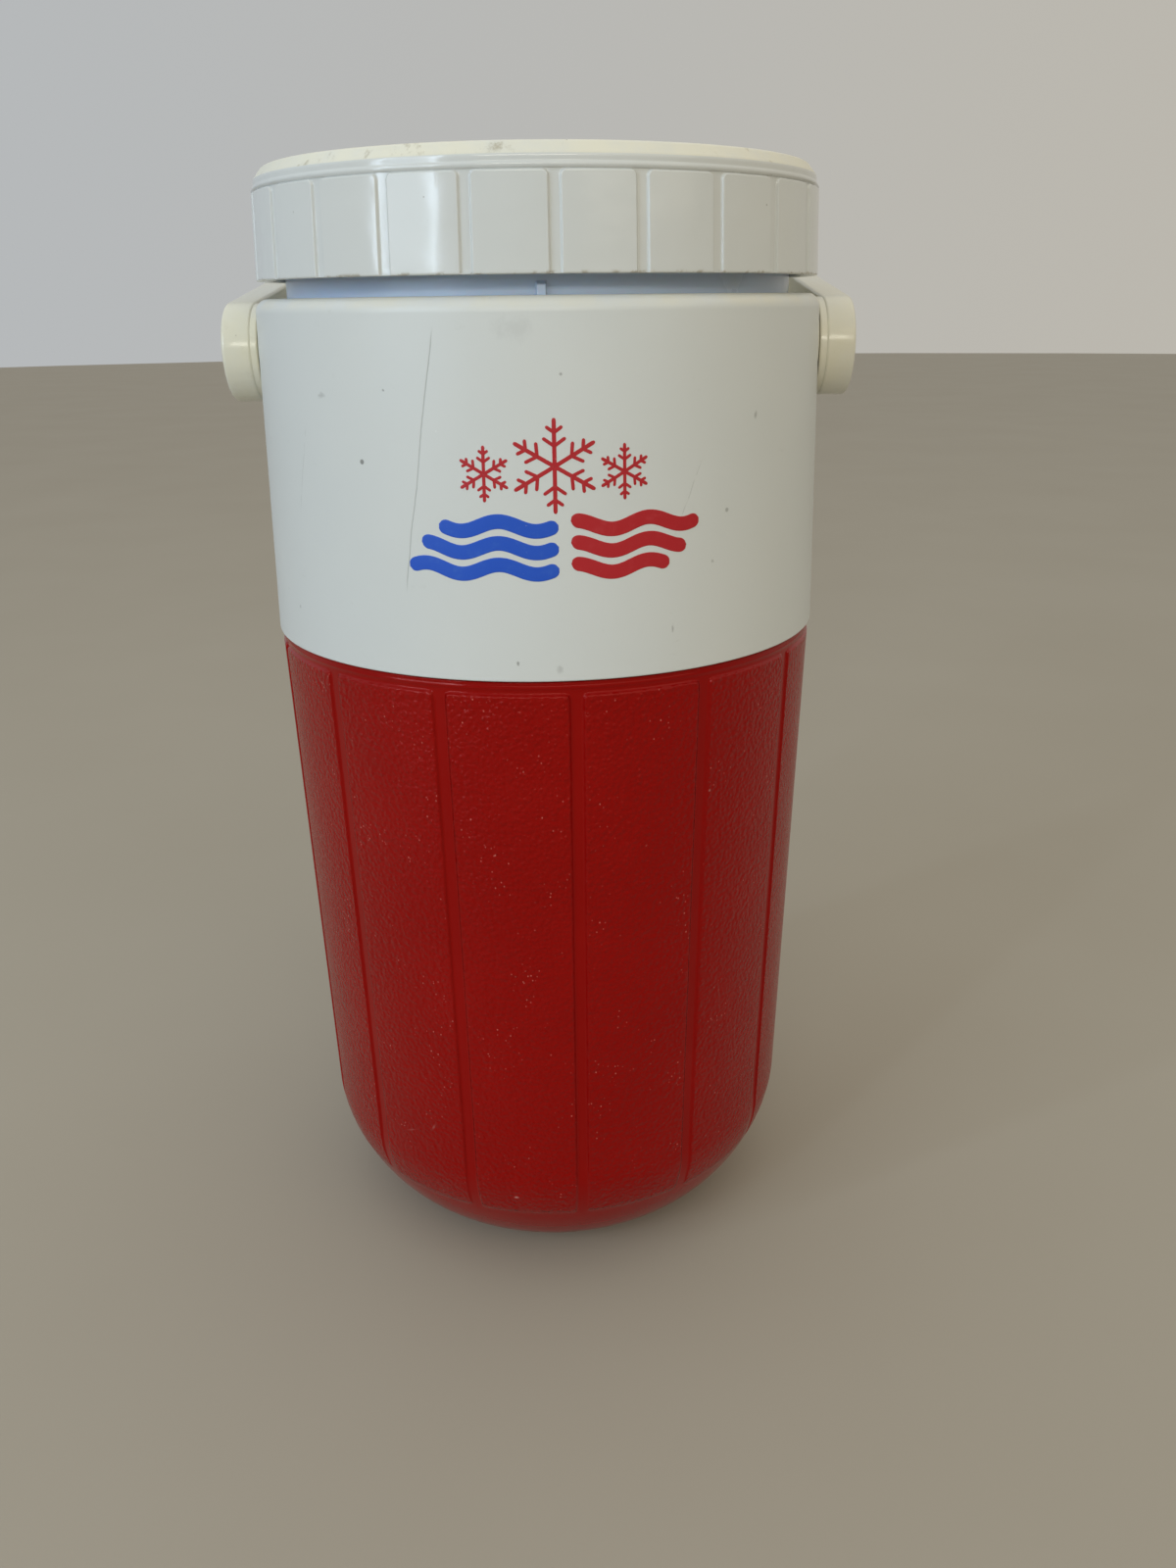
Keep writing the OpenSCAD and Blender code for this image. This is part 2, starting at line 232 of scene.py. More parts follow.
def outline(corners, closed, reach=5.0, support=0.15):
    """Points along a polygon whose corners (r, z, fillet) are rounded by arcs of that radius.

    Straight runs get a point close to each end, so that shading stays crisp, and no gap in them
    is wider than reach."""
    spots = np.array([c[:2] for c in corners], float)
    fillets = [c[2] for c in corners]
    count = len(corners)
    pieces = []
    for i, (spot, fillet) in enumerate(zip(spots, fillets)):
        is_end = not closed and i in (0, count - 1)
        if fillet <= 0 or is_end:
            pieces.append(spot[None, :])
            continue
        before = spots[i - 1] - spot
        after = spots[(i + 1) % count] - spot
        before = before / np.linalg.norm(before)
        after = after / np.linalg.norm(after)
        half = math.acos(float(np.clip(before @ after, -1.0, 1.0))) / 2.0
        middle = (before + after) / np.linalg.norm(before + after)
        centre = spot + middle * fillet / math.sin(half)
        start = spot + before * fillet / math.tan(half) - centre
        end = spot + after * fillet / math.tan(half) - centre
        sweep = math.pi - 2.0 * half
        steps = max(4, int(math.ceil(math.degrees(sweep) / 11.0)))
        t = np.linspace(0.0, 1.0, steps + 1)[:, None]
        arc = (np.sin((1.0 - t) * sweep) * start + np.sin(t * sweep) * end) / math.sin(sweep)
        pieces.append(centre + arc)
    points = [pieces[0]]
    order = list(range(1, count)) + ([0] if closed else [])
    for i in order:
        start, end = points[-1][-1], pieces[i][0]
        length = float(np.linalg.norm(end - start))
        marks = np.linspace(0.0, length, max(1, int(math.ceil(length / reach))) + 1)[1:-1]
        if length > 4.0 * support:
            marks = np.sort(np.concatenate([marks, [support, length - support]]))
        if length > 0:
            points.append(start + (end - start) * (marks / length)[:, None])
        if i:
            points.append(pieces[i])
    return np.concatenate([p for p in points if len(p)])


def grid_faces(rows, columns, wrap_rows, wrap_columns=True):
    """Quads of a grid, whose rows and columns join end to start where they are said to wrap."""
    i, j = np.meshgrid(
        np.arange(rows if wrap_rows else rows - 1),
        np.arange(columns if wrap_columns else columns - 1),
        indexing="ij",
    )
    below, right = (i + 1) % rows, (j + 1) % columns
    corners = [i * columns + j, i * columns + right, below * columns + right, below * columns + j]
    return np.stack(corners, -1).reshape(-1, 4)


def add_piece(name, parts, finish, body, replaces=()):
    """Joins (points in millimetres, faces) parts into one closed mesh that faces outwards, hangs
    it on the empty of the body that it rides on, and hides the CAD nodes that it stands for."""
    work = bmesh.new()
    for points, faces in parts:
        mesh = bpy.data.meshes.new("part")
        mesh.from_pydata(np.asarray(points).reshape(-1, 3) * MM, [], faces)
        part = bmesh.new()
        part.from_mesh(mesh)
        bmesh.ops.remove_doubles(part, verts=part.verts, dist=1e-7)
        if part.calc_volume(signed=True) < 0:
            bmesh.ops.reverse_faces(part, faces=part.faces)
        part.to_mesh(mesh)
        part.free()
        work.from_mesh(mesh)
        bpy.data.meshes.remove(mesh)
    mesh = bpy.data.meshes.new(name)
    work.to_mesh(mesh)
    work.free()
    mesh.shade_smooth()
    mesh.materials.append(finish)
    piece = bpy.data.objects.new(name, mesh)
    bpy.context.scene.collection.objects.link(piece)
    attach(piece, body)
    if replaces:
        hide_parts(*replaces)
    return piece


def turned(profile, around, relief=None, closed=True):
    """A profile of (r, z) points turned about Z. relief(azimuth, r, z) moves each point out
    from the axis by that many millimetres. An open profile has both ends on the axis."""
    r, z = profile[:, 0][:, None], profile[:, 1][:, None]
    angle = np.radians(around)
    out = r + 0.0 * angle + (relief(around, r, z) if relief else 0.0)
    points = np.stack([out * np.sin(angle), -out * np.cos(angle), z + 0.0 * out], -1)
    return points, grid_faces(len(profile), len(around), closed)


def turned_on_x(profile, around, centre_z, side):
    """A closed profile of (r, x) points turned about a line along X at height centre_z. side is
    1 for the right-hand end and -1 for its mirror image."""
    r, x = profile[:, 0][:, None], profile[:, 1][:, None]
    angle = np.radians(around)
    points = np.stack(
        [side * x + 0.0 * angle, r * np.sin(angle), centre_z - r * np.cos(angle)], -1
    )
    return points, grid_faces(len(profile), len(around), True)


# ---------------- reliefs


def rounded_cells(degrees, count, phase, gap, radius, corner, up):
    """How far, in millimetres, each point lies inside one of count rounded rectangles spread
    evenly round the axis. gap is the space between two of them, and up the distance of the
    point to the nearer of their upper and lower edges."""
    pitch = 360.0 / count
    from_gap = np.abs((degrees - phase + pitch / 2.0) % pitch - pitch / 2.0)
    across = np.radians(from_gap) * radius - gap / 2.0
    rounding = corner - np.hypot(np.maximum(corner - across, 0.0), np.maximum(corner - up, 0.0))
    return np.minimum(rounding, np.minimum(across, up))


def groove_edges(count, phase, gap, radius, beyond):
    """Azimuths a few tenths of a degree beyond both edges of every groove between the cells."""
    half = math.degrees(gap / 2.0 / radius) + beyond
    return [phase + i * 360.0 / count + s * half for i in range(count) for s in (-1, 1)]


def panel_relief(degrees, r, z):
    """Grooves and rims of the red shell, set back from its raised panels, with a soft bead
    along the rim over the panels."""
    up = np.minimum(PANEL_TOP_Z - z, (z - PANEL_LOW_Z) * PANEL_LOW_SLOPE)
    inside = rounded_cells(degrees, PANELS, PANEL_PHASE, PANEL_GAP, PANEL_R, PANEL_CORNER, up)
    fade = 1.0 - 0.75 * ease(-z, -CORNER_H - 8.0, -PANEL_LOW_Z)
    set_back = PANEL_RISE * (1.0 - ease(inside, -0.2, 0.6)) * fade
    bead = 0.2 * np.exp(-(((z - PANEL_TOP_Z - 1.4) / 0.5) ** 2))
    outer = r > red_radius(z) - 0.02
    return np.where(outer, bead - set_back, 0.0)


def grip_relief(degrees, r, z):
    """Grooves between the lid's raised grip panels, which are open at the lower edge and have
    rounded upper corners, and the ring over them, all set back from the panels."""
    up = GRIP_TOP_Z - z
    inside = rounded_cells(degrees, GRIPS, GRIP_PHASE, GRIP_GAP, LID_R, GRIP_CORNER, up)
    outer = (r > cap_radius(z) - 0.05) & (z < GRIP_TOP_Z + 1.0)
    return np.where(outer, -GRIP_RISE * (1.0 - ease(inside, -0.1, 0.35)), 0.0)


def seat_relief(degrees, r, z):
    """The two flat round seats in the white shell, in which the bail's hubs turn. Each lies in
    the plane at BOSS_FACE_X, so the sine, which is near 1 there, is kept away from 0."""
    sine = np.maximum(np.abs(np.sin(np.radians(degrees))), 0.5)
    depth = np.maximum(r - BOSS_FACE_X / sine, 0.0)
    from_pivot = np.hypot(r * np.cos(np.radians(degrees)), z - PIVOT_Z)
    return -depth * ease(BOSS_R + 0.3 - from_pivot, 0.0, 0.3)


def thread_height(degrees, z, first_z, first_turn, sweep):
    """0 to 1 over the ridges of a right-hand thread: a trapezoid swept up a helix, one for each
    start, thinning out at both ends."""
    height = np.zeros(np.broadcast(degrees, z).shape)
    for start in range(THREAD_STARTS):
        turn = (degrees - 90.0 - first_turn - start * 360.0 / THREAD_STARTS) % 360.0
        middle = first_z + THREAD_LEAD * turn / 360.0
        flank = ease(1.3 - np.abs(z - middle), 0.0, 0.7)
        run_out = ease(np.minimum(turn, sweep - turn), 0.0, 12.0)
        height = np.maximum(height, flank * run_out * (turn < sweep))
    return height


def neck_relief(degrees, r, z):
    """The neck's thread and its small upright stop rib."""
    on_neck = (np.abs(r - NECK_R) < 0.05) & (z > SHOULDER_Z - 1.0)
    thread = THREAD_RISE * thread_height(degrees, z, THREAD_Z, 0.0, THREAD_SWEEP)
    off_turn = (degrees - STOP_RIB_TURN + 180.0) % 360.0 - 180.0
    off_rib = np.radians(np.abs(off_turn)) * NECK_R
    rib = 1.4 * ease(1.1 - off_rib, 0.0, 0.3) * ease(SHOULDER_Z + 2.4 - z, 0.0, 0.3)
    return np.where(on_neck, np.maximum(thread, rib), 0.0)


def cap_relief(degrees, r, z):
    """The lid's grip panels outside and its thread inside."""
    outside = grip_relief(degrees, r, z)
    on_bore = (np.abs(r - LID_INNER_R) < 0.05) & (z < PLUG_TOP_Z - 0.5)
    thread = thread_height(degrees, z, LID_THREAD_Z, LID_THREAD_TURN, LID_THREAD_SWEEP)
    return outside - np.where(on_bore, LID_THREAD_RISE * thread, 0.0)


# ---------------- shader maths


class Value:
    """A number or colour that varies over a surface. Arithmetic on numbers adds Math nodes."""

    def __init__(self, graph, socket):
        self.graph = graph
        self.socket = socket

    def __add__(self, other):
        return self.graph.math("ADD", self, other)

    __radd__ = __add__

    def __sub__(self, other):
        return self.graph.math("SUBTRACT", self, other)

    def __rsub__(self, other):
        return self.graph.math("SUBTRACT", other, self)

    def __mul__(self, other):
        return self.graph.math("MULTIPLY", self, other)

    __rmul__ = __mul__

    def __truediv__(self, other):
        return self.graph.math("DIVIDE", self, other)

    def __pow__(self, other):
        return self.graph.math("POWER", self, other)

    def __abs__(self):
        return self.graph.math("ABSOLUTE", self, 0.0)


class Graph:
    """One node tree, read at a place. Its methods add nodes and hand back what they give."""

    def __init__(self, tree, coordinates):
        self.tree = tree
        self.place = self.node("ShaderNodeTexCoord", output=coordinates)
        self.x, self.y, self.z = (
            self.node("ShaderNodeSeparateXYZ", inputs={0: self.place}, output=axis)
            for axis in range(3)
        )

    def node(self, kind, settings=None, inputs=None, output=0):
        """Adds a node of any kind. Settings are set first, then its sockets get values or links."""
        made = self.tree.nodes.new(kind)
        for key, value in (settings or {}).items():
            setattr(made, key, value)
        for key, value in (inputs or {}).items():
            self.feed(made.inputs[key], value)
        return Value(self, made.outputs[output])

    def feed(self, socket, value):
        """Links a Value to a socket, or sets the socket to a plain number, colour or vector."""
        if isinstance(value, Value):
            self.tree.links.new(value.socket, socket)
        elif isinstance(value, tuple) and len(value) == 3 and socket.type == "RGBA":
            socket.default_value = (*value, 1.0)
        else:
            socket.default_value = value

    def ramp(self, value, low, high, start=0.0, end=1.0):
        """start below low, end above high, and a smooth step between."""
        return self.node(
            "ShaderNodeMapRange",
            {"interpolation_type": "SMOOTHSTEP"},
            {"Value": value, "From Min": low, "From Max": high, "To Min": start, "To Max": end},
        )

    def math(self, operation, first, second):
        """One Math node."""
        return self.node("ShaderNodeMath", {"operation": operation}, {0: first, 1: second})

    def mix(self, share, first, second):
        """A colour that goes from first to second as share goes from 0 to 1."""
        return self.node(
            "ShaderNodeMix", {"data_type": "RGBA"}, {0: share, 6: first, 7: second}, output=2
        )

    def smaller(self, first, second):
        """The lesser of two numbers."""
        return self.math("MINIMUM", first, second)

    def larger(self, first, second):
        """The greater of two numbers."""
        return self.math("MAXIMUM", first, second)


class Finish(Graph):
    """One procedural material, read at places on the object it covers."""

    def __init__(self, name):
        self.material = bpy.data.materials.new(name)
        self.material.use_nodes = True
        super().__init__(self.material.node_tree, "Object")
        self.shader = self.tree.nodes["Principled BSDF"]

    def pattern(self, size, stretch, shift):
        """Sockets of a pattern that repeats about every size millimetres: the place, multiplied
        by stretch along each axis and then shifted to another part of the pattern."""
        inputs = {"Vector": self.place, "Location": (shift, shift, shift), "Scale": stretch}
        where = self.node("ShaderNodeMapping", inputs=inputs)
        return {"Vector": where, "Scale": 1.0 / (size * MM)}

    def noise(self, size, detail=2.0, rough=0.5, stretch=(1.0, 1.0, 1.0), shift=0.0, warp=0.0):
        """Smooth noise from 0 to 1 whose blobs are about size millimetres across."""
        sockets = self.pattern(size, stretch, shift)
        sockets.update({"Detail": detail, "Roughness": rough, "Distortion": warp})
        return self.node("ShaderNodeTexNoise", inputs=sockets)

    def cells(self, size, feature="F1", stretch=(1.0, 1.0, 1.0), shift=0.0, smooth=0.0):
        """Distance to the nearest of a scatter of points about size millimetres apart, as a
        share of size."""
        sockets = self.pattern(size, stretch, shift)
        if feature == "SMOOTH_F1":
            sockets["Smoothness"] = smooth
        return self.node("ShaderNodeTexVoronoi", {"feature": feature}, sockets)

    def azimuth(self):
        """Angle in degrees from the front towards +X."""
        return self.math("ARCTAN2", self.x, self.y * -1.0) * (180.0 / math.pi)

    def radius(self):
        """Distance from the jug's axis, in millimetres."""
        square = self.x * self.x + self.y * self.y
        return square**0.5 / MM

    def bump(self, height, depth, under=None):
        """A bumped normal: height 1 stands depth millimetres above height 0."""
        sockets = {"Height": height, "Distance": depth * MM, "Strength": 1.0}
        if under is not None:
            sockets["Normal"] = under
        return self.node("ShaderNodeBump", inputs=sockets)

    def scratch(self, around, start, end, width, wander, gaps=0.44):
        """1 along a hairline from start to end, each (azimuth, height in millimetres) on the
        shell. The line sways by about wander degrees, and is broken where a noise is below
        gaps."""
        mid_z = (start[1] + end[1]) / 2.0
        half = abs(end[1] - mid_z)
        slope = (end[0] - start[0]) / (end[1] - start[1])
        height = self.z / MM
        sway = self.noise(14.0, 3.0, 0.6, shift=start[0]) - 0.5
        line = (height - start[1]) * slope + start[0] + sway * (2.0 * wander)
        off = abs(around - line)
        along = self.ramp(abs(height - mid_z), half, half - 4.0)
        broken = self.ramp(self.noise(3.0, 2.0, 0.6, shift=end[0]), gaps - 0.06, gaps + 0.06)
        return self.ramp(off, width, width * 0.4) * along * broken

    def mark(self, around, degrees, height, wide, tall):
        """1 inside a ragged oval at an azimuth and height, with half sizes wide and tall in
        millimetres, fading to 0 at its edge."""
        across = (around - degrees) * (math.radians(SHOULDER_R) / wide)
        up = (self.z / MM - height) / tall
        ragged = self.noise(min(wide, tall), 5.0, 0.75, shift=degrees)
        return self.ramp((across * across + up * up) ** 0.5 + ragged * 1.8, 1.7, 1.0)

    def finish_with(self, colour, roughness, normal=None, **constants):
        """Feeds the shader. Constants are the sockets that are the same all over."""
        self.feed(self.shader.inputs["Base Color"], colour)
        self.feed(self.shader.inputs["Roughness"], roughness)
        if normal is not None:
            self.feed(self.shader.inputs["Normal"], normal)
        for name, value in constants.items():
            self.feed(self.shader.inputs[name.replace("_", " ")], value)
        return self.material


# ---------------- finishes


def red_shell_finish():
    """Deep red moulded plastic: a pebbled grain on the raised panels, smooth grooves and rims,
    pale rub marks, painted highlights as glints on the grain's tips and a few nicks and scuffs."""
    f = Finish("red_pebbled_plastic")
    height = f.z / MM
    around = f.azimuth()
    # Two whole turns keep the angle above 0 without moving the grooves
    from_groove = f.math("PINGPONG", around + (720.0 - PANEL_PHASE), 180.0 / PANELS)
    across = from_groove * math.radians(PANEL_R) - PANEL_GAP / 2.0
    up = f.smaller(PANEL_TOP_Z - height, (height - PANEL_LOW_Z) * PANEL_LOW_SLOPE)
    panel = f.ramp(f.smaller(across, up), 0.1, 0.9)
    pebbles = f.cells(1.05, "SMOOTH_F1", smooth=0.7)
    creases = f.noise(0.8, 3.0, 0.5, warp=0.6)
    grain = ((1.0 - pebbles) + creases * 0.5) * panel
    soft = f.noise(28.0, 2.0, 0.5)
    patches = f.ramp(f.noise(16.0, 3.0, 0.55), 0.35, 0.7)
    low = f.ramp(height, 55.0, 15.0)
    rub = low * f.ramp(f.noise(2.6, 5.0, 0.72, stretch=(1.0, 1.0, 1.6), shift=3.1), 0.69, 0.76)
    haze = f.ramp(f.noise(34.0, 4.0, 0.6, shift=1.7), 0.45, 0.75)
    nicks = f.ramp(f.cells(26.0, shift=0.7), 0.026, 0.014)
    # Painted highlight: clusters of pale pink dots on the panels stand in for glints of light on
    # the pebbled grain
    clusters = f.ramp(f.noise(12.0, 4.0, 0.7, shift=5.3), 0.52, 0.64)
    painted_glints = f.ramp(f.cells(1.15, stretch=(1.0, 1.0, 0.75), shift=2.2), 0.19, 0.10)
    painted_glints = painted_glints * clusters * panel
    scuffs = f.mark(around, -9.0, 28.0, 1.1, 0.7)
    scuffs = f.larger(scuffs, f.scratch(around, (-37.0, 41.0), (-33.0, 43.5), 0.5, 0.8, 0.3))
    scuffs = f.larger(scuffs, f.scratch(around, (-29.0, 44.5), (-27.5, 47.5), 0.4, 0.6, 0.3))
    colour = f.mix(soft, (0.262, 0.0009, 0.0005), (0.230, 0.0007, 0.0004))
    colour = f.mix(haze * 0.3, colour, (0.30, 0.003, 0.002))
    colour = f.mix(rub * 0.35, colour, (0.46, 0.06, 0.05))
    # Painted highlight: the glint dots are mixed into the colour as pale pink
    colour = f.mix(painted_glints * 0.65, colour, (0.62, 0.18, 0.15))
    colour = f.mix(f.larger(nicks, scuffs) * 0.6, colour, (0.62, 0.34, 0.30))
    roughness = 0.17 + panel * 0.05 + patches * 0.05 + rub * 0.2
    normal = f.bump(grain, 0.30)
    normal = f.bump(soft - nicks * 0.4, 0.25, normal)
    return f.finish_with(
        colour, roughness, normal,
        IOR=1.45, Specular_IOR_Level=0.38, Specular_Tint=(1.0, 0.48, 0.42, 1.0),
    )


# Hairline scratches on the white shell: start and end, each an azimuth and a height
WHITE_HAIRS = (
    ((31.0, 199.0), (37.0, 196.0)),
    ((24.0, 196.0), (31.0, 214.0)),
    ((-52.0, 200.0), (-47.0, 221.0)),
    ((118.0, 185.0), (131.0, 224.0)),
    ((-140.0, 190.0), (-128.0, 231.0)),
    ((168.0, 176.0), (159.0, 205.0)),
)
# Dark marks on the white shell: azimuth, height, half width, half height and strength
WHITE_MARKS = (
    (-4.0, 172.5, 0.5, 0.9, 0.9),
    (3.5, 171.0, 1.3, 1.6, 0.35),
    (43.5, 221.0, 0.8, 1.4, 0.6),
    (-3.0, 239.0, 6.0, 4.0, 0.14),
    (-42.0, 226.0, 2.0, 0.9, 0.4),
    (-27.0, 227.5, 0.5, 0.4, 0.8),
    (33.0, 191.5, 0.6, 0.6, 0.5),
    (24.5, 178.0, 0.5, 1.5, 0.6),
    (150.0, 205.0, 1.5, 2.5, 0.4),
    (-112.0, 190.0, 1.0, 1.0, 0.6),
)


def white_shell_finish():
    """Grey-white moulded plastic, satin, with a yellowed shoulder edge, grime specks and long
    hairline scratches."""
    f = Finish("white_satin_plastic")
    height = f.z / MM
    cloud = f.noise(45.0, 3.0, 0.55)
    speckled = f.ramp(f.noise(30.0, 2.0, shift=4.2), 0.5, 0.6)
    specks = f.ramp(f.cells(13.0, shift=0.35), 0.05, 0.03) * speckled
    smudge = f.ramp(f.noise(7.0, 5.0, 0.7, stretch=(1.0, 1.0, 2.2), shift=2.3), 0.63, 0.8)
    edge = f.ramp(height, SHOULDER_Z - 3.2, SHOULDER_Z - 1.2)
    warm = edge * f.ramp(f.noise(12.0, 4.0, 0.6, shift=5.0), 0.25, 0.7)
    around = f.azimuth()
    hairs = f.scratch(around, (-24.5, 186.0), (-16.9, 240.0), 0.15, 0.5, 0.2)
    for start, end in WHITE_HAIRS:
        hairs = f.larger(hairs, f.scratch(around, start, end, 0.13, 0.7) * 0.6)
    marks = specks
    for degrees, mark_z, wide, tall, strength in WHITE_MARKS:
        marks = f.larger(marks, f.mark(around, degrees, mark_z, wide, tall) * strength)
    chips = f.ramp(f.cells(3.6, shift=1.9), 0.12, 0.07) * f.mark(around, -22.0, 220.5, 7.5, 4.0)
    from_pivot = ((f.y / MM) ** 2.0 + (height - PIVOT_Z) ** 2.0) ** 0.5
    boss = f.ramp(from_pivot, BOSS_R + 0.3, BOSS_R + 0.1)
    colour = f.mix(cloud, (0.58, 0.61, 0.605), (0.625, 0.645, 0.63))
    colour = f.mix(f.larger(warm * 0.7, boss), colour, (0.66, 0.64, 0.53))
    colour = f.mix(smudge * 0.22, colour, (0.42, 0.43, 0.40))
    colour = f.mix(marks * 0.75, colour, (0.13, 0.13, 0.12))
    colour = f.mix(hairs * 0.5, colour, (0.26, 0.27, 0.26))
    colour = f.mix(chips * 0.8, colour, (0.80, 0.82, 0.82))
    roughness = 0.34 + cloud * 0.08 + smudge * 0.12 + hairs * 0.15
    swell = f.noise(18.0, 2.0, 0.4, shift=8.0)
    normal = f.bump(f.noise(0.35, 2.0, 0.5), 0.012)
    normal = f.bump(swell - hairs * 0.25 + chips * 0.3, 0.14, normal)
    return f.finish_with(colour, roughness, normal, IOR=1.48)


def lid_finish():
    """The same grey-white plastic, glossier, with a cream and grimy rim and small chips along
    the skirt's lower edge."""
    f = Finish("lid_gloss_plastic")
    height = f.z / MM
    radius = f.radius()
    cloud = f.noise(38.0, 3.0, 0.55, shift=1.0)
    rim = f.ramp(height, TOTAL_H - 2.6, TOTAL_H - 2.3)
    deck = f.ramp(radius, LID_R - 9.0, LID_R - 14.0)
    patchy = f.ramp(f.noise(9.0, 5.0, 0.62, shift=6.0), 0.22, 0.62)
    grime = f.ramp(f.noise(5.0, 6.0, 0.72, stretch=(1.0, 1.0, 0.6), shift=3.3), 0.56, 0.72)
    dotted = f.ramp(f.noise(11.0, 2.0, shift=9.0), 0.52, 0.62)
    dots = f.ramp(f.cells(5.5, shift=0.9), 0.05, 0.02) * dotted
    scuff = f.ramp(f.noise(2.2, 4.0, 0.65, stretch=(1.0, 1.0, 0.25), shift=7.0), 0.68, 0.8)
    chipped = f.ramp(f.noise(3.0, 3.0, 0.6, shift=2.0), 0.52, 0.62)
    chips = f.ramp(height, LID_Z + 0.8, LID_Z + 0.15) * chipped
    colour = f.mix(cloud, (0.59, 0.615, 0.61), (0.625, 0.64, 0.62))
    colour = f.mix(rim * (0.45 + patchy * 0.5), colour, (0.71, 0.69, 0.57))
    colour = f.mix(rim * grime * 0.7, colour, (0.34, 0.30, 0.20))
    colour = f.mix(deck * grime * 0.2, colour, (0.42, 0.40, 0.33))
    colour = f.mix(dots * 0.6, colour, (0.17, 0.15, 0.12))
    colour = f.mix(chips * 0.7, colour, (0.33, 0.29, 0.22))
    roughness = 0.13 + cloud * 0.04 + rim * 0.26 + grime * 0.08 + scuff * 0.15
    normal = f.bump(f.noise(0.5, 2.0, 0.5), 0.004)
    normal = f.bump(f.noise(7.0, 2.0, 0.45, shift=4.0), 0.14, normal)
    return f.finish_with(colour, roughness, normal, IOR=1.49)


def handle_finish():
    """Cream moulded plastic, yellowed unevenly, with rubbed edges and grime in its pores."""
    f = Finish("handle_cream_plastic")
    age = f.noise(26.0, 4.0, 0.6, shift=2.0)
    pores = f.noise(0.6, 2.0, 0.5)
    grime = f.ramp(f.noise(4.0, 6.0, 0.7, shift=5.5), 0.6, 0.78)
    flecked = f.ramp(f.noise(9.0, 2.0, shift=1.4), 0.5, 0.6)
    flecks = f.ramp(f.cells(4.0, shift=0.5), 0.06, 0.025) * flecked
    lengthwise = f.noise(2.0, 4.0, 0.6, stretch=(1.0, 0.12, 0.5), shift=8.0)
    colour = f.mix(f.ramp(age, 0.3, 0.7), (0.66, 0.655, 0.575), (0.68, 0.65, 0.51))
    colour = f.mix(grime * 0.35, colour, (0.40, 0.35, 0.25))
    colour = f.mix(flecks * 0.5, colour, (0.26, 0.22, 0.15))
    roughness = 0.13 + pores * 0.06 + grime * 0.16 + lengthwise * 0.06
    normal = f.bump(pores, 0.006)
    normal = f.bump(lengthwise, 0.015, normal)
    return f.finish_with(colour, roughness, normal, IOR=1.49)


def liner_finish():
    """Bluish-white food-grade plastic, satin, with a little light passing under its surface.
    Its blue is deepened in the colour as a painted reflection of the cool window light.
    """
    f = Finish("liner_bluish_plastic_painted_reflection")
    cloud = f.noise(30.0, 3.0, 0.5, shift=1.2)
    flow = f.noise(6.0, 3.0, 0.5, stretch=(1.0, 1.0, 0.15), shift=3.0)
    stain = f.ramp(f.noise(24.0, 4.0, 0.6, shift=7.0), 0.55, 0.75)
    # Painted reflection: these blues are partly the plastic's own tint and partly stand in for the
    # cool window light that the neck reflects
    colour = f.mix(cloud, (0.50, 0.61, 0.79), (0.54, 0.64, 0.80))
    colour = f.mix(stain * 0.2, colour, (0.55, 0.53, 0.44))
    roughness = 0.20 + flow * 0.10 + stain * 0.08
    normal = f.bump(flow, 0.05)
    normal = f.bump(f.noise(0.5, 2.0, 0.5), 0.006, normal)
    return f.finish_with(
        colour, roughness, normal, IOR=1.5, Subsurface_Weight=0.15, Subsurface_Scale=0.002
    )


def gasket_finish():
    """Soft off-white seal with a dull, dusty surface."""
    f = Finish("gasket_soft_seal")
    dust = f.noise(3.0, 4.0, 0.6)
    colour = f.mix(dust, (0.52, 0.50, 0.43), (0.63, 0.61, 0.54))
    return f.finish_with(colour, 0.55 + dust * 0.2, f.bump(f.noise(0.4, 2.0), 0.02), IOR=1.45)


def foam_finish():
    """Rigid pale yellow foam with small burst cells."""
    f = Finish("foam_rigid_yellow")
    bubbles = f.cells(0.9)
    tone = f.noise(8.0, 4.0, 0.6)
    colour = f.mix(tone, (0.66, 0.52, 0.24), (0.76, 0.63, 0.34))
    colour = f.mix(f.ramp(bubbles, 0.25, 0.05) * 0.4, colour, (0.45, 0.33, 0.13))
    return f.finish_with(colour, 0.85 + tone * 0.1, f.bump(bubbles, 0.3), IOR=1.4)


def steel_finish():
    """Bright drawn steel with fine lines round the pin."""
    f = Finish("pin_drawn_steel")
    lines = f.noise(0.25, 3.0, 0.6, stretch=(8.0, 0.6, 0.6))
    colour = f.mix(lines, (0.52, 0.53, 0.55), (0.64, 0.65, 0.67))
    return f.finish_with(colour, 0.22 + lines * 0.15, f.bump(lines, 0.006), Metallic=1.0)


def bushing_finish():
    """Natural white moulded plastic, matt, as found inside a casing."""
    f = Finish("bushing_natural_plastic")
    tone = f.noise(5.0, 3.0, 0.5)
    colour = f.mix(tone, (0.60, 0.61, 0.58), (0.68, 0.68, 0.64))
    return f.finish_with(colour, 0.45 + tone * 0.1, f.bump(f.noise(0.5, 2.0), 0.01), IOR=1.49)


def ink_finish(name, fresh, worn):
    """Screen-printed ink: nearly flat colour, a little thin in places, slightly glossier than
    the plastic under it."""
    f = Finish(name)
    thin = f.noise(2.4, 5.0, 0.65, shift=2.0)
    tone = f.noise(12.0, 2.0, 0.5)
    gaps = f.ramp(f.noise(1.1, 4.0, 0.7, shift=6.0), 0.70, 0.78)
    colour = f.mix(f.ramp(thin, 0.5, 0.8) * 0.35 + tone * 0.12, fresh, worn)
    colour = f.mix(gaps * 0.8, colour, (0.60, 0.62, 0.61))
    return f.finish_with(colour, 0.34 + thin * 0.12, f.bump(thin, 0.01), IOR=1.5)


# ---------------- red lower shell


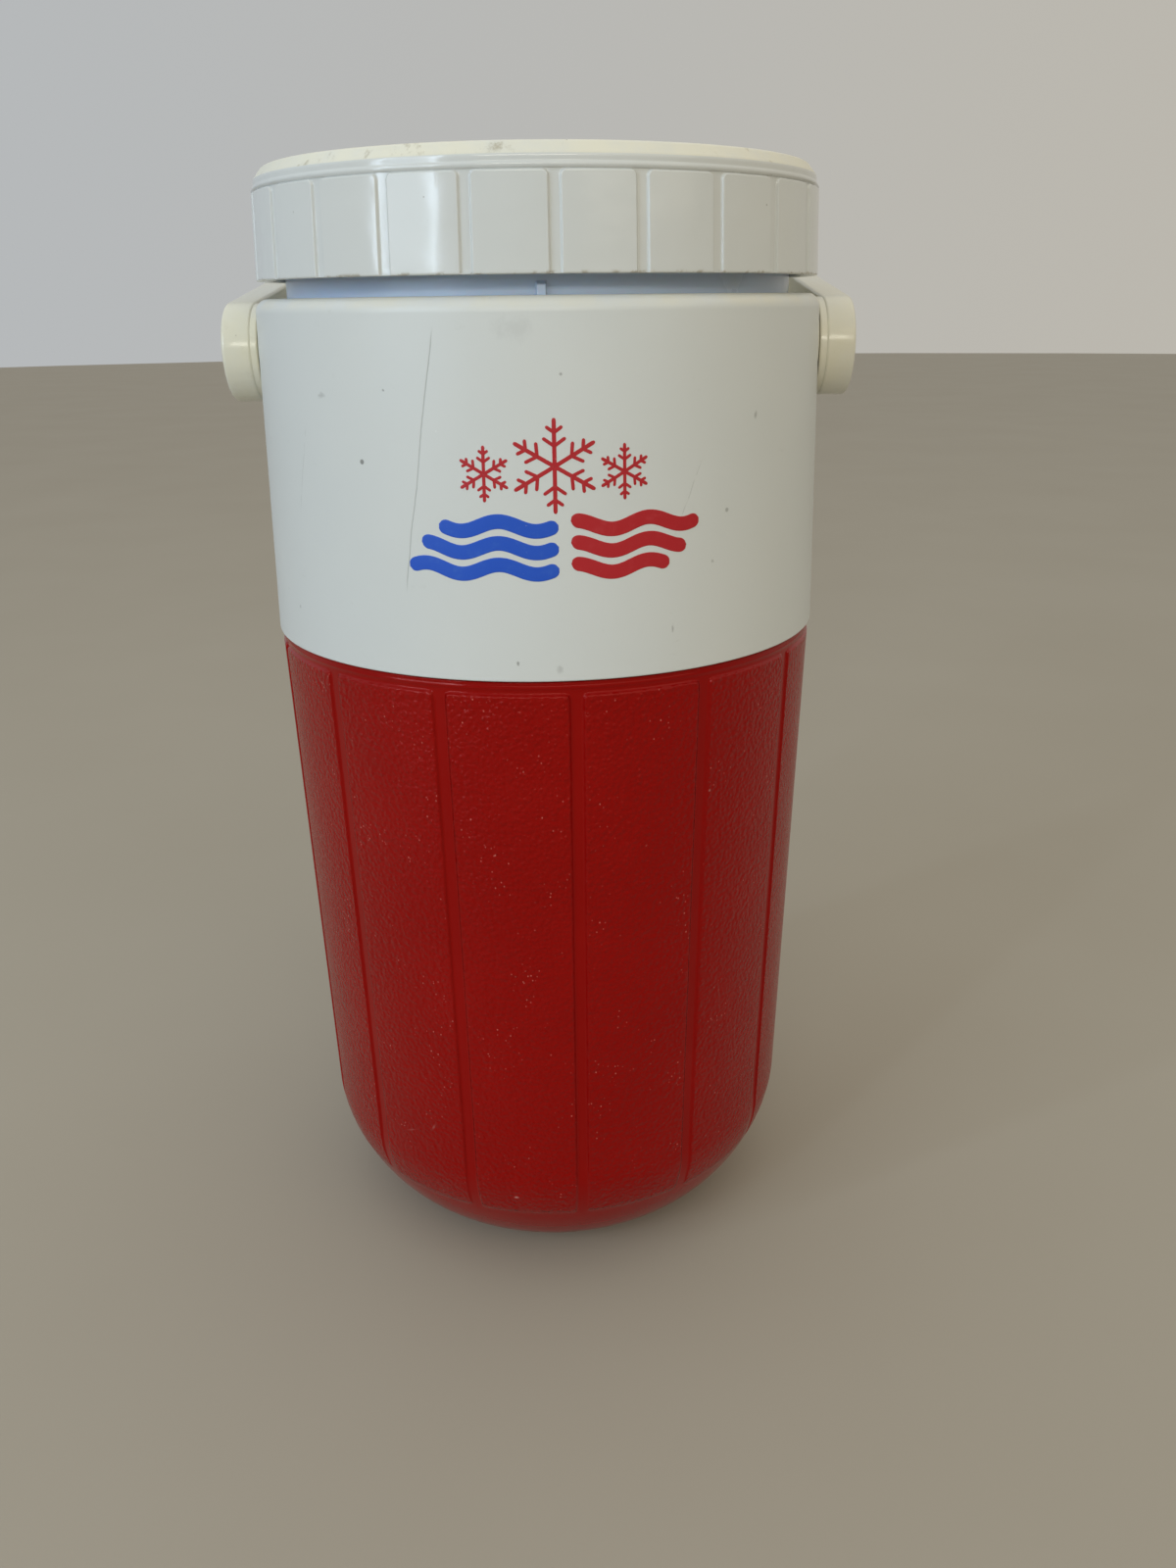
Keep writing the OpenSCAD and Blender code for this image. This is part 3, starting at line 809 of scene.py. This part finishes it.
def lower_shell():
    """The red shell: foot, rounded corner, panelled wall, rim, lap joint and inner wall."""
    wall = RED_TOP_R - SHELL_WALL
    corner_z = CORNER_H * np.linspace(0.0, 1.0, 32) ** 1.25
    wall_z = stops(CORNER_H + 1.5, PANEL_TOP_Z + 2.0, 4.0, [PANEL_TOP_Z + 0.5], 1.5, 0.125)
    outer_z = np.concatenate([corner_z, wall_z])
    outer = [(float(red_radius(z)), float(z), 0.0) for z in outer_z]
    tongue = SEAM_R - SHELL_WALL - 0.2
    corners = [
        (BASE_RECESS_R, BASE_RECESS_Z, 1.2),
        (BASE_RECESS_R + 1.5, 0.0, 0.5),
        *outer,
        (RED_TOP_R - 0.45, RED_TOP_Z, 0.5),
        (tongue, RED_TOP_Z, 0.0),
        (tongue, RED_TOP_Z + TONGUE_UP, 0.5),
        (tongue - TONGUE_T, RED_TOP_Z + TONGUE_UP, 0.5),
        (tongue - TONGUE_T, RED_TOP_Z - TONGUE_DOWN, 0.0),
        (wall - 0.2, RED_TOP_Z - TONGUE_DOWN - 4.0, 0.0),
        (BASE_R - SHELL_WALL, CORNER_H, 4.0),
        (FOOT_R, 4.0, 6.0),
        (BASE_HOLE_R, BASE_RECESS_Z + 2.5, 0.0),
        (BASE_HOLE_R, BASE_RECESS_Z, 0.3),
        (26.0, BASE_RECESS_Z, 0.0),
        (26.5, BASE_RECESS_Z + 0.35, 0.1),
        (27.5, BASE_RECESS_Z + 0.35, 0.1),
        (28.0, BASE_RECESS_Z, 0.0),
    ]
    profile = outline(corners, closed=True, reach=9.0)
    edges = groove_edges(PANELS, PANEL_PHASE, PANEL_GAP, PANEL_R, 0.45)
    return turned(profile, azimuths(2.4, edges, 0.72, 0.12), panel_relief)


def hole_plug(node, surface_z, shank_r, dimple_r, dimple, head_round, end_round):
    """The plug of a foam hole, pushed up into the surface at surface_z: a shallow button with a
    moulding dimple in its middle, on a round shank."""
    low, high = span(node, 2)
    head_r = span(node, 0)[1]
    seat = surface_z - 0.02
    corners = [
        (0.0, low + dimple, 0.0),
        (dimple_r, low + dimple, 0.1),
        (dimple_r + 0.3, low, 0.1),
        (head_r, low, head_round),
        (head_r, seat, 0.0),
        (shank_r, seat, 0.0),
        (shank_r, high, end_round),
        (0.0, high, 0.0),
    ]
    return turned(outline(corners, closed=False), azimuths(4.0), closed=False)


def base_plug():
    """The red plug in the middle of the base."""
    return hole_plug("base_fill_plug", BASE_RECESS_Z, BASE_HOLE_R - 0.3, 1.6, 0.35, 0.35, 0.5)


# ---------------- white upper shell


def upper_shell():
    """The white shell: a tapered wall with a rounded shoulder, a lip round the neck and two
    round seats for the bail's hubs."""
    lip = NECK_R + 0.5
    seat_rows = np.arange(PIVOT_Z - BOSS_R - 0.6, SHOULDER_Z - 3.6, 0.3)
    corners = [
        (SEAM_R - SHELL_WALL, SEAM_Z, 0.3),
        (SEAM_R, SEAM_Z, 0.35),
        *[(float(white_radius(z)), float(z), 0.0) for z in seat_rows],
        (SHOULDER_R, SHOULDER_Z, 3.0),
        (lip, SHOULDER_Z, 0.35),
        (lip, SHOULDER_Z - 2.2, 0.2),
        (SHOULDER_R - SHELL_WALL, SHOULDER_Z - 2.2, 0.6),
    ]
    profile = outline(corners, closed=True)
    return turned(profile, azimuths(1.5, (-90.0, 90.0), 11.0, 0.25), seat_relief)


def pivot_boss(side):
    """The flat floor of one seat, with the bushing's bore through it."""
    inside = float(white_radius(PIVOT_Z)) - SHELL_WALL + 0.1
    bore = 5.06
    corners = [
        (bore, inside, 0.0),
        (BOSS_R, inside, 0.0),
        (BOSS_R, BOSS_FACE_X, 0.55),
        (bore, BOSS_FACE_X, 0.2),
    ]
    return turned_on_x(outline(corners, closed=True), azimuths(4.0), PIVOT_Z, side)


# ---------------- bottle and lid


def bottle():
    """The bottle: threaded neck, flange under the shoulder, straight wall and rounded floor."""
    flange_high = SHOULDER_Z - 2.3
    flange_low = flange_high - 1.6
    throat = flange_low - 6.8
    outer_r = BOTTLE_R + BOTTLE_WALL
    floor = BOTTLE_LOW_Z + BOTTLE_WALL
    neck_rows = stops(flange_high + 0.6, NECK_TOP_Z - 1.4, 0.3)
    corners = [
        (0.0, BOTTLE_LOW_Z, 0.0),
        (outer_r, BOTTLE_LOW_Z, BOTTLE_CORNER),
        (outer_r, throat, 1.0),
        (58.6, flange_low, 0.0),
        (FLANGE_R, flange_low, 0.3),
        (FLANGE_R, flange_high, 0.3),
        (NECK_R, flange_high, 0.0),
        *[(NECK_R, float(z), 0.0) for z in neck_rows],
        (NECK_R, NECK_TOP_Z, 0.9),
        (MOUTH_R, NECK_TOP_Z, 0.9),
        (MOUTH_R, flange_low, 2.0),
        (BOTTLE_R, throat, 2.0),
        (BOTTLE_R, floor, BOTTLE_CORNER),
        (9.0, floor, 0.0),
        (8.0, floor + 0.5, 0.4),
        (0.0, floor + 0.5, 0.0),
    ]
    profile = outline(corners, closed=False, reach=8.0)
    around = azimuths(1.25, [STOP_RIB_TURN - 0.9, STOP_RIB_TURN + 0.9], 0.5, 0.09)
    return turned(profile, around, neck_relief, closed=False)


def lid_cap():
    """The cap: dished deck with a low ring, rounded rim, panelled skirt and internal thread."""
    deck = TOTAL_H - LID_DISH
    ceiling = deck - LID_DECK_T
    skirt_rows = stops(LID_Z + 1.2, GRIP_TOP_Z + 0.15, 2.2, [GRIP_TOP_Z - 0.5], 1.0, 0.1)
    rim_r = float(cap_radius(TOTAL_H)) - GRIP_RISE
    bore_rows = stops(LID_Z + 0.8, ceiling - 0.4, 0.4)
    corners = [
        (0.0, deck - 0.3, 0.0),
        (2.2, deck - 0.3, 0.1),
        (2.6, deck, 0.1),
        (44.0, deck, 0.6),
        (45.0, deck + 0.55, 0.4),
        (47.2, deck + 0.55, 0.4),
        (48.2, deck, 0.6),
        (57.3, deck, 1.2),
        (60.0, TOTAL_H, 1.4),
        (rim_r - 2.0, TOTAL_H, 1.2),
        (rim_r, TOTAL_H - 2.5, 1.2),
        (rim_r, GRIP_TOP_Z + 1.3, 0.0),
        *[(float(cap_radius(z)), float(z), 0.0) for z in skirt_rows[::-1]],
        (LID_R, LID_Z, 0.35),
        (LID_INNER_R, LID_Z, 0.3),
        *[(LID_INNER_R, float(z), 0.0) for z in bore_rows],
        (LID_INNER_R, ceiling, 0.0),
        (0.0, ceiling, 0.0),
    ]
    profile = outline(corners, closed=False, reach=8.0)
    edges = groove_edges(GRIPS, GRIP_PHASE, GRIP_GAP, LID_R, 0.4)
    return turned(profile, azimuths(2.4, edges, 0.6, 0.1), cap_relief, closed=False)


def lid_cup():
    """The lid's inner cup, which plugs the neck, with a round-edged floor and a stiffening
    ring."""
    inner = CUP_R - CUP_T
    corners = [
        (CUP_HOLE_R, PLUG_Z, 0.1),
        (34.0, PLUG_Z, 0.0),
        (34.8, PLUG_Z + 0.6, 0.3),
        (37.2, PLUG_Z + 0.6, 0.3),
        (38.0, PLUG_Z, 0.0),
        (CUP_R, PLUG_Z, 3.0),
        (CUP_R, GASKET_TOP_Z + 0.1, 0.2),
        (PLUG_FLANGE_R, GASKET_TOP_Z + 0.1, 0.3),
        (PLUG_FLANGE_R, PLUG_TOP_Z, 0.3),
        (inner, PLUG_TOP_Z, 0.2),
        (inner, PLUG_Z + CUP_T, 2.0),
        (CUP_HOLE_R, PLUG_Z + CUP_T, 0.1),
    ]
    return turned(outline(corners, closed=True), azimuths(2.0))


def lid_plug():
    """The small plug in the middle of the lid's cup."""
    return hole_plug("lid_fill_plug", PLUG_Z, CUP_HOLE_R - 0.2, 1.2, 0.3, 0.4, 0.4)


def seal():
    """The seal on the neck's rim: a flat ring with rounded edges."""
    inner = 56.6
    corners = [
        (inner, GASKET_Z, 0.5),
        (GASKET_R, GASKET_Z, 0.5),
        (GASKET_R, GASKET_TOP_Z, 0.5),
        (inner, GASKET_TOP_Z, 0.5),
    ]
    return turned(outline(corners, closed=True), azimuths(2.5))


# ---------------- bail handle


def bail_path(s):
    """Middle line of the bail's strap in its own plane, by distance s from the left pivot: up
    one arm, round a bend, across the grip, round the other bend and down. Gives the place
    (x, reach), the outward direction there and the whole length."""
    half = BAIL_OUT_X - BAIL_T / 2.0
    reach = BAIL_REACH - BAIL_T / 2.0
    bend = BAIL_BEND_R - BAIL_T / 2.0
    arm = reach - bend
    quarter = bend * math.pi / 2.0
    grip = 2.0 * (half - bend)
    marks = np.cumsum([arm, quarter, grip, quarter])
    first = np.clip((s - marks[0]) / quarter, 0.0, 1.0) * math.pi / 2.0
    second = np.clip((s - marks[2]) / quarter, 0.0, 1.0) * math.pi / 2.0
    angle = first + second
    x = -half + bend * (1 - np.cos(first)) + np.clip(s - marks[1], 0.0, grip)
    x = x + bend * np.sin(second)
    up = np.minimum(s, arm) + bend * np.sin(first) - bend * (1.0 - np.cos(second))
    up = up - np.maximum(s - marks[3], 0.0)
    return x, up, -np.cos(angle), np.sin(angle), marks[3] + arm


def bail():
    """The bail: a strap swept along its path. Its edge is rounded by a small fillet, its width
    tapers to the grip, and both ends are round. Rows run round the strap's section, columns
    along it; in a round end the columns fan about the pivot."""
    half_t = BAIL_T / 2.0
    # One quarter of the section: half a face, then its fillet up to the edge
    face = np.linspace(0.0, 1.0, 7)
    turn = np.linspace(0.0, math.pi / 2.0, 7)[1:]
    share = np.concatenate([face, np.ones(len(turn))])
    set_in = np.concatenate([np.ones(len(face)), 1.0 - np.sin(turn)]) * BAIL_FILLET
    depth = np.concatenate([np.zeros(len(face)), 1.0 - np.cos(turn)]) * BAIL_FILLET - half_t
    # Its mirror image makes the other face, and that of both the strap's other side
    share, set_in = (np.concatenate([a, a[::-1]]) for a in (share, set_in))
    depth = np.concatenate([depth, -depth[::-1]])
    side = np.concatenate([np.ones(len(share)), -np.ones(len(share) - 2)])
    share, set_in, depth = (np.concatenate([a, a[-2:0:-1]]) for a in (share, set_in, depth))
    total = bail_path(0.0)[4]
    strap = np.linspace(0.0, total, 170)
    fan = np.linspace(0.0, math.pi / 2.0, 19)[:-1]
    along = np.concatenate([0.0 * fan, strap, 0.0 * fan + total])
    swing = np.concatenate([fan, np.full(len(strap), math.pi / 2.0), fan[::-1]])
    fanned = np.concatenate([np.ones(len(fan)), 0.0 * strap, np.ones(len(fan))])
    x, up, out_x, out_up, _ = bail_path(along)
    half_w = BAIL_EYE_R + (BAIL_GRIP_W / 2.0 - BAIL_EYE_R) * np.clip(up, 0, None) / BAIL_REACH
    share, set_in, depth, side = (a[:, None] for a in (share, set_in, depth, side))
    row_half = share * (half_w - set_in)
    across = side * row_half * np.sin(swing)
    up = up - row_half * np.cos(swing) * fanned
    from_eye = np.hypot(up, across)
    dimple = 0.22 * ease(6.4 - from_eye, 0.0, 0.5) * (depth > half_t - 0.01)
    depth = depth - dimple
    px = x + depth * out_x
    pu = up + depth * out_up
    cos, sin = math.cos(BAIL_REST), math.sin(BAIL_REST)
    points = np.stack([px, pu * cos - across * sin, PIVOT_Z + pu * sin + across * cos], -1)
    return points, grid_faces(*px.shape, True, wrap_columns=False)


def bail_hub(side):
    """The round hub on the inside of one end of the bail, a little smaller than the end."""
    bore = 3.02
    root = BAIL_IN_X + 1.0
    corners = [(bore, HUB_IN_X, 0.0), (HUB_R, HUB_IN_X, 0.5), (HUB_R, root, 0.0), (bore, root, 0.0)]
    return turned_on_x(outline(corners, closed=True), azimuths(3.0), PIVOT_Z, side)


# ---------------- print on the front


def stroke(u, z, half, taper):
    """A ribbon of ink on the white shell along a line of (u, z) points, u being arc length in
    millimetres from the middle of the print. half is its half width and taper the length of
    its rounded ends. The section is a thin flat lens that stands just proud of the shell."""
    u, z = np.asarray(u, float), np.asarray(z, float)
    tangent = np.stack([np.gradient(u), np.gradient(z)])
    tangent = tangent / np.linalg.norm(tangent, axis=0)
    travel = np.concatenate([[0.0], np.cumsum(np.hypot(np.diff(u), np.diff(z)))])
    near = np.clip(np.minimum(travel, travel[-1] - travel) / taper, 0.0, 1.0)
    width = half * np.sqrt(1.0 - (1.0 - near) ** 2)
    across = np.array([-1.0, -1.0, -0.94, -0.8, 0.8, 0.94, 1.0, 1.0])[:, None]
    lift = np.array([-0.3, 0.03, 0.045, 0.05, 0.05, 0.045, 0.03, -0.3])[:, None]
    pu = u - tangent[1] * across * width
    pz = z + tangent[0] * across * width
    r = white_radius(pz) + lift
    angle = PRINT_TURN + pu / SHOULDER_R
    points = np.stack([r * np.sin(angle), -r * np.cos(angle), pz], -1)
    return points, grid_faces(len(across), len(u), True, wrap_columns=False)


def straight(start, end, half, taper, count=14):
    """A straight stroke between two (u, z) points."""
    t = 0.5 - 0.5 * np.cos(math.pi * np.linspace(0.0, 1.0, count))
    u = start[0] + (end[0] - start[0]) * t
    z = start[1] + (end[1] - start[1]) * t
    return stroke(u, z, half, taper)


def flake(u, z, size, half):
    """A plain six-armed frost star of straight strokes, with two pairs of twigs on each arm."""
    strokes = []
    for arm in range(6):
        angle = math.radians(90.0 + 60.0 * arm)
        d = np.array([math.cos(angle), math.sin(angle)])
        strokes.append(straight((u, z), (u + d[0] * size, z + d[1] * size), half, half * 1.2))
        for share, length in ((0.42, 0.30), (0.70, 0.22)):
            root = np.array([u, z]) + d * size * share
            for turn in (-55.0, 55.0):
                twig = angle + math.radians(turn)
                tip = root + size * length * np.array([math.cos(twig), math.sin(twig)])
                strokes.append(straight(root, tip, half * 0.85, half))
    return strokes


def wave(row, start, end):
    """One wavy band of the print, from arc length start to end, in the row above the middle
    one (1), the middle one (0) or the one below it (-1)."""
    count = int((end - start) * 3)
    t = 0.5 - 0.5 * np.cos(math.pi * np.linspace(0.0, 1.0, count))
    u = start + (end - start) * (0.15 * t + 0.85 * np.linspace(0.0, 1.0, count))
    z = WAVE_Z + WAVE_STEP * row + np.sin(u * 2.0 * math.pi / WAVE_LENGTH)
    return stroke(u, z, WAVE_HALF_T, WAVE_HALF_T * 1.1)


def red_print():
    """Frost stars, and the right-hand half of the wavy bands."""
    strokes = flake(0.0, FLAKE_Z, 9.4, 0.42)
    for side in (-1, 1):
        strokes += flake(side * 14.2, FLAKE_Z - 1.4, 5.6, 0.34)
    for row, trim in ((1, 0.0), (0, 3.0), (-1, 7.0)):
        strokes.append(wave(row, 3.0, PRINT_HALF_W - trim))
    return strokes


def blue_print():
    """The left-hand half of the wavy bands."""
    return [wave(row, trim - PRINT_HALF_W, 0.5) for row, trim in ((1, 7.0), (0, 3.0), (-1, 0.0))]


# ---------------- build the jug

red_plastic = red_shell_finish()
white_plastic = white_shell_finish()
lid_plastic = lid_finish()
cream_plastic = handle_finish()
liner_plastic = liner_finish()

add_piece("red_shell", [lower_shell()], red_plastic, "jug", ["lower_shell"])
add_piece("red_base_plug", [base_plug()], red_plastic, "jug", ["base_fill_plug"])
add_piece(
    "white_shell", [upper_shell(), pivot_boss(-1), pivot_boss(1)],
    white_plastic, "jug", ["upper_shell"],
)
add_piece("bottle", [bottle()], liner_plastic, "jug", ["inner_liner"])
add_piece("screw_cap", [lid_cap()], lid_plastic, "lid", ["lid_cap"])
add_piece("lid_cup", [lid_cup()], liner_plastic, "lid", ["lid_liner"])
add_piece("lid_plug", [lid_plug()], liner_plastic, "lid", ["lid_fill_plug"])
add_piece("rim_seal", [seal()], gasket_finish(), "seal", ["lid_gasket"])
add_piece(
    "bail", [bail(), bail_hub(-1), bail_hub(1)],
    cream_plastic, "bail", ["bail_handle"],
)
red_ink = ink_finish("ink_red", (0.40, 0.003, 0.010), (0.48, 0.04, 0.05))
blue_ink = ink_finish("ink_blue", (0.003, 0.070, 0.50), (0.04, 0.14, 0.52))
add_piece("print_red", red_print(), red_ink, "jug")
add_piece("print_blue", blue_print(), blue_ink, "jug")


def dress(nodes, finish):
    """Gives CAD nodes that stay a better material."""
    for name in nodes:
        piece = frame["nodes"][name]
        piece.data.materials.clear()
        piece.data.materials.append(finish)


SIDES = ("left", "right")
STEEL_PARTS = ("pivot_pin", "pin_washer")
dress(["body_insulation", "lid_insulation"], foam_finish())
dress([f"{part}_{side}" for part in STEEL_PARTS for side in SIDES], steel_finish())
dress([f"pivot_bushing_{side}" for side in SIDES], bushing_finish())


# ---------------- floor, light and camera


def floor_finish():
    """Plain pale sand-coloured floor with a faint tone."""
    f = Finish("floor_pale")
    tone = f.noise(160.0, 3.0, 0.5)
    colour = f.mix(tone, (0.32, 0.285, 0.225), (0.35, 0.315, 0.255))
    return f.finish_with(colour, 0.8)


def add_floor(radius=6.0):
    """A round flat floor at the height of the jug's foot, as rings of points."""
    rings = radius * np.linspace(0.0, 1.0, 12)[:, None] ** 2
    angle = np.radians(azimuths(7.5))
    level = 0.0 * rings * angle + cad_low[2]
    points = np.stack([rings * np.sin(angle), -rings * np.cos(angle), level], -1)
    mesh = bpy.data.meshes.new("floor")
    mesh.from_pydata(points.reshape(-1, 3), [], grid_faces(len(rings), len(angle), False))
    mesh.materials.append(floor_finish())
    floor = bpy.data.objects.new("floor", mesh)
    bpy.context.scene.collection.objects.link(floor)


def add_softbox(name, place, aim, size, power, colour):
    """A soft rectangular light at place, facing aim, in metres and watts."""
    lamp = bpy.data.lights.new(name, "AREA")
    lamp.shape = "RECTANGLE"
    lamp.size, lamp.size_y = size
    lamp.energy = power
    lamp.color = colour
    holder = bpy.data.objects.new(name, lamp)
    holder.location = place
    holder.rotation_euler = (Vector(aim) - Vector(place)).to_track_quat("-Z", "Y").to_euler()
    bpy.context.scene.collection.objects.link(holder)


def add_surroundings():
    """A pale surround, cool on the left and warm on the right: bright overhead and behind the
    jug, dimmer towards the side that is looked from."""
    world = bpy.data.worlds.new("studio")
    bpy.context.scene.world = world
    world.use_nodes = True
    sky = Graph(world.node_tree, "Generated")
    backdrop = sky.tree.nodes["Background"]
    tint = sky.mix(sky.ramp(sky.x, -0.6, 0.6), (0.93, 0.97, 1.0), (1.0, 0.95, 0.84))
    walls = sky.ramp(sky.y, -0.6, 0.5, 0.19, 0.50)
    sky.feed(backdrop.inputs["Color"], tint)
    sky.feed(backdrop.inputs["Strength"], walls + sky.ramp(sky.z, 0.35, 0.85, 0.0, 0.55))


def add_camera():
    """A camera at about the shoulder's height, close to the jug, a little to the right of its
    front and looking down."""
    distance, eye_z = 0.3189, 0.2437
    around, yaw, pitch, roll = (math.radians(a) for a in (1.29, 0.58, 21.55, -0.68))
    camera = bpy.data.cameras.new("camera")
    camera.sensor_fit = "AUTO"
    camera.sensor_width = 36.0
    camera.lens = 28.05
    holder = bpy.data.objects.new("camera", camera)
    turn = (
        Matrix.Rotation(-yaw, 4, "Z")
        @ Matrix.Rotation(math.pi / 2.0 - pitch, 4, "X")
        @ Matrix.Rotation(roll, 4, "Z")
    )
    place = (distance * math.sin(around), -distance * math.cos(around), eye_z)
    holder.matrix_world = Matrix.Translation(place) @ turn
    bpy.context.scene.collection.objects.link(holder)
    bpy.context.scene.camera = holder


add_floor()
add_surroundings()
JUG_MIDDLE = (0.0, 0.0, TOTAL_H * MM / 2.0)
# Soft lights: name, place and size in metres, power in watts and colour
SOFTBOXES = (
    ("window_left", (-1.24, -0.72, 0.7), (0.07, 0.8), 3.1, (0.70, 0.85, 1.0)),
    ("window_right", (-0.88, -1.13, 0.7), (0.07, 0.8), 3.1, (0.70, 0.85, 1.0)),
    ("window", (-1.09, -0.97, 0.7), (0.42, 0.8), 3.7, (0.68, 0.84, 1.0)),
    ("room", (1.5, -1.7, 1.3), (2.0, 1.6), 10.0, (1.0, 0.90, 0.70)),
    ("lamp", (0.0, -1.9, 0.95), (1.4, 0.24), 9.5, (1.0, 0.95, 0.82)),
)
for name, place, size, power, colour in SOFTBOXES:
    add_softbox(name, place, JUG_MIDDLE, size, power, colour)
add_camera()
bpy.context.scene.view_settings.view_transform = "Standard"
